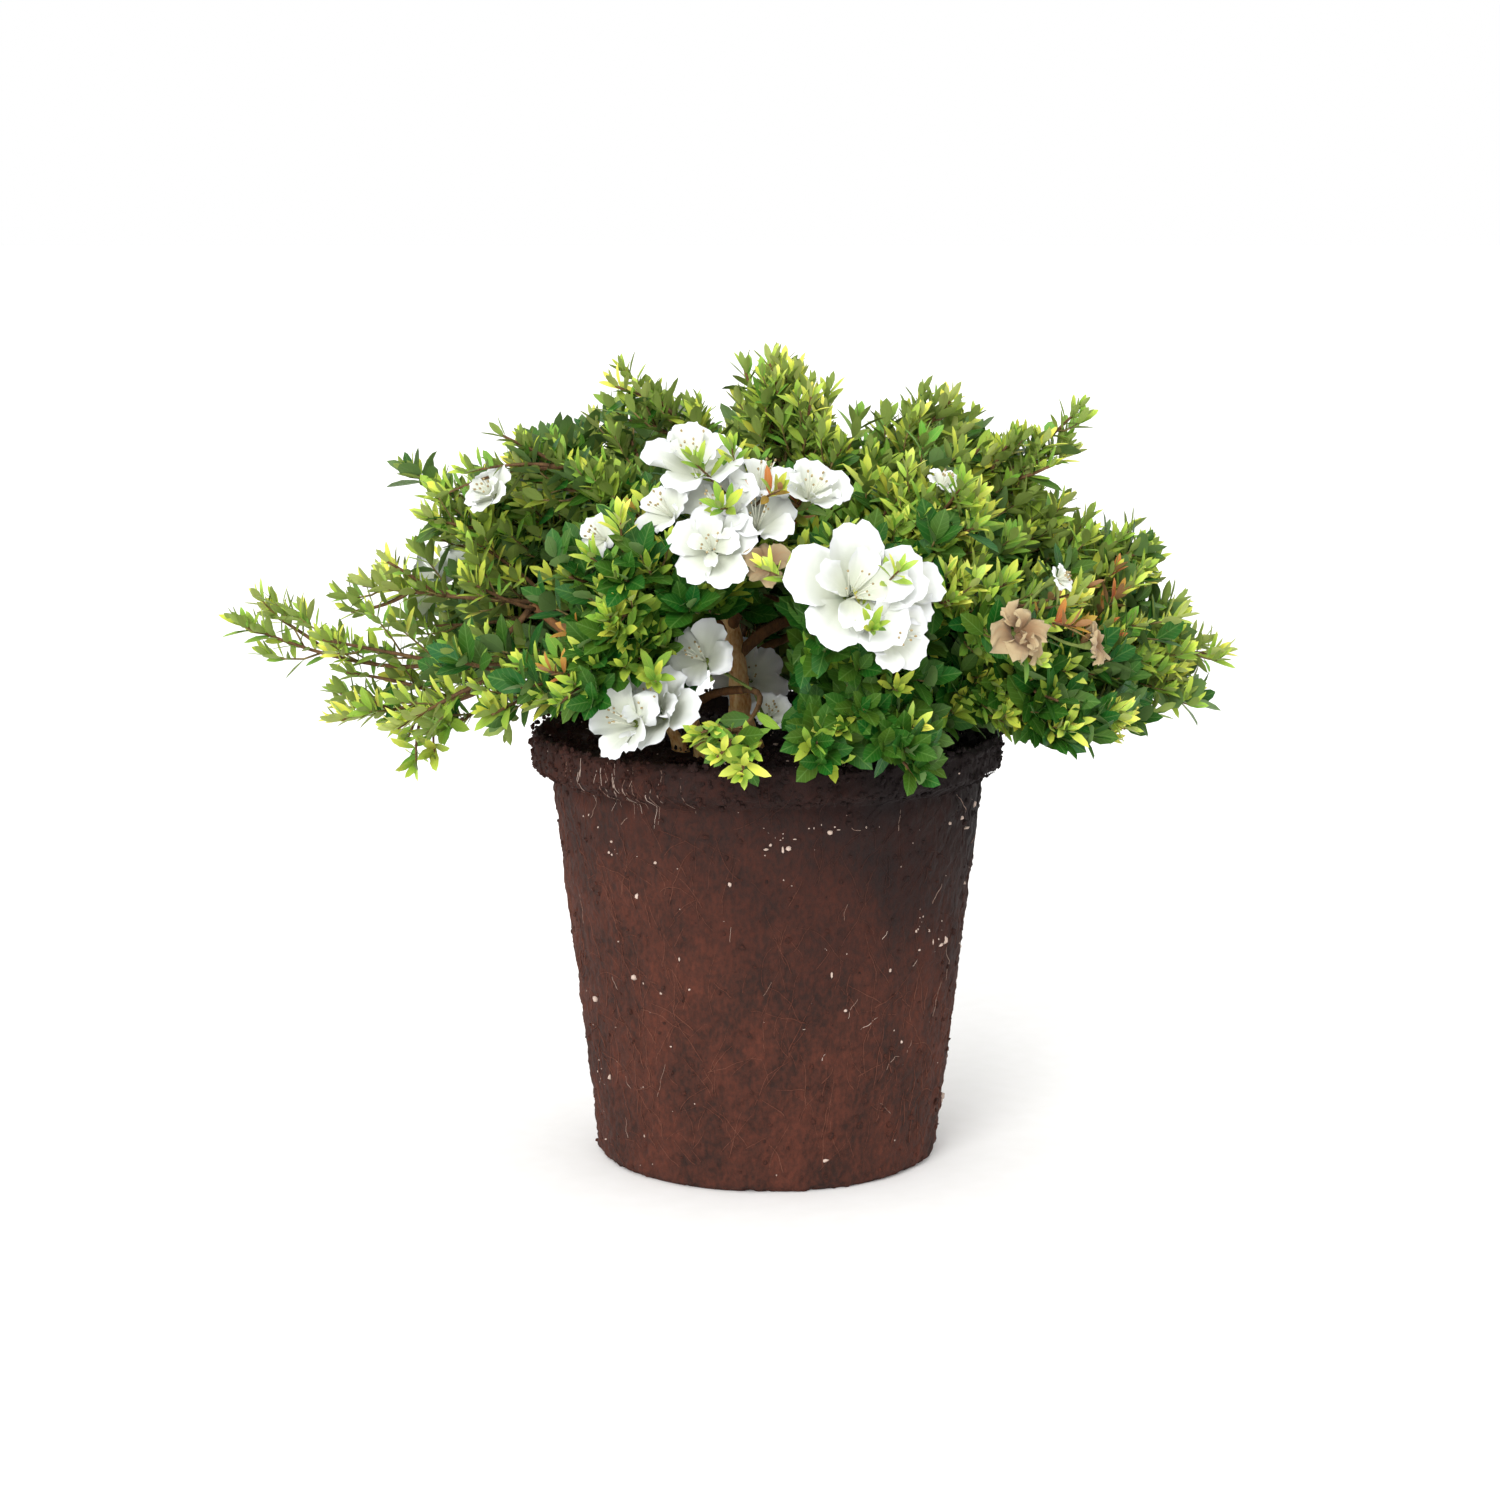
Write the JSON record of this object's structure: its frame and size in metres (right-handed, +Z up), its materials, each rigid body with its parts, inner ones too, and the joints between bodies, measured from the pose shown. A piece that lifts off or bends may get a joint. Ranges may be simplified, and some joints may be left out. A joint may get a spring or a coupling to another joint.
{
  "type": "azalea shrub on its root ball",
  "caption": "Low spreading evergreen azalea in white flower on a bare tapered root ball with a collar, standing free on its flat underside.",
  "frame": {"origin": "centre of the root ball's flat underside", "axes": "+Z up along the root ball's axis, +X to the right of the shrub seen from its front, -Y towards the viewer"},
  "size_m": [0.5869, 0.442, 0.4777],
  "materials": {
    "root_soil": "rough, fibrous, moist bark and peat soil bound by fine roots",
    "bark": "thin flaking brown bark",
    "foliage": "leathery leaves with a soft sheen",
    "blossom": "matt white ruffled petals"
  },
  "bodies": {
    "root": {"root_ball": "root_soil", "trunk": "bark", "bough_top_middle": "bark", "bough_top_left": "bark", "bough_top_right": "bark", "bough_left_shoulder": "bark", "bough_left_upper": "bark", "bough_left_middle": "bark", "stem_left_low": "bark", "bough_left_hanging": "bark", "bough_left_sprig": "bark", "bough_right_low": "bark", "bough_right_shoulder": "bark", "bough_right_upper": "bark", "stem_right_front_low": "bark", "bough_right_front": "bark", "bough_right_front_upper": "bark", "bough_front_right": "bark", "bough_front_low_right": "bark", "bough_front_upper": "bark", "bough_front_left": "bark", "stem_front_low_left": "bark", "bough_front_low_middle": "bark", "stem_back_low": "bark", "bough_back_upper": "bark", "bough_back_left_low": "bark", "bough_back_left": "bark", "bough_back_right_low": "bark", "bough_back_right": "bark", "foliage_top_middle": "foliage", "foliage_top_left": "foliage", "foliage_top_right": "foliage", "foliage_left_shoulder": "foliage", "foliage_left_upper": "foliage", "foliage_left_middle": "foliage", "foliage_left_low": "foliage", "foliage_left_hanging": "foliage", "foliage_left_sprig": "foliage", "foliage_right_low": "foliage", "foliage_right_shoulder": "foliage", "foliage_right_upper": "foliage", "foliage_right_front_low": "foliage", "foliage_right_front": "foliage", "foliage_right_front_upper": "foliage", "foliage_front_right": "foliage", "foliage_front_low_right": "foliage", "foliage_front_upper": "foliage", "foliage_front_left": "foliage", "foliage_front_low_left": "foliage", "foliage_front_low_middle": "foliage", "foliage_back_low": "foliage", "foliage_back_upper": "foliage", "foliage_back_left_low": "foliage", "foliage_back_left": "foliage", "foliage_back_right_low": "foliage", "foliage_back_right": "foliage"}
  },
  "joints": []
}
